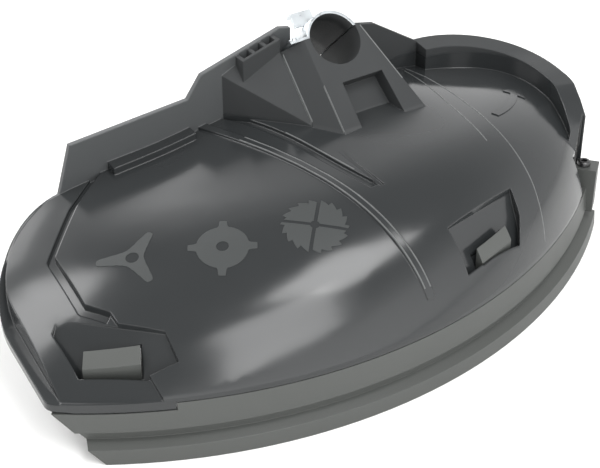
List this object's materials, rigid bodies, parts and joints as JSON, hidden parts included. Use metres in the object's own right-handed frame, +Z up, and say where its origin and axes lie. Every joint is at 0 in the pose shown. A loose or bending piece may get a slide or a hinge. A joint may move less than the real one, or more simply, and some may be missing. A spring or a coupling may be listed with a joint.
{
  "type": "trimmer blade guard",
  "caption": "Domed moulded blade guard for a brush cutter, with a clip-on skirt, line knife and a strapped saddle for the tube.",
  "frame": {"origin": "under the middle of the guard, at the lower edge of the skirt", "axes": "+X along the front wall to the knife end, +Y away from the user, +Z up"},
  "size_m": [0.4318, 0.239, 0.1614],
  "materials": {
    "guard_body": "satin moulding",
    "skirt": "fine grain",
    "line_knife": "ground",
    "knife_screw": "black",
    "clamp_strap": "zinc plated",
    "clamp_screw": "zinc plated"
  },
  "bodies": {
    "root": {"guard_body": "guard_body", "skirt": "skirt", "line_knife": "line_knife", "knife_screw": "knife_screw", "clamp_strap": "clamp_strap", "clamp_screw": "clamp_screw"}
  },
  "joints": []
}
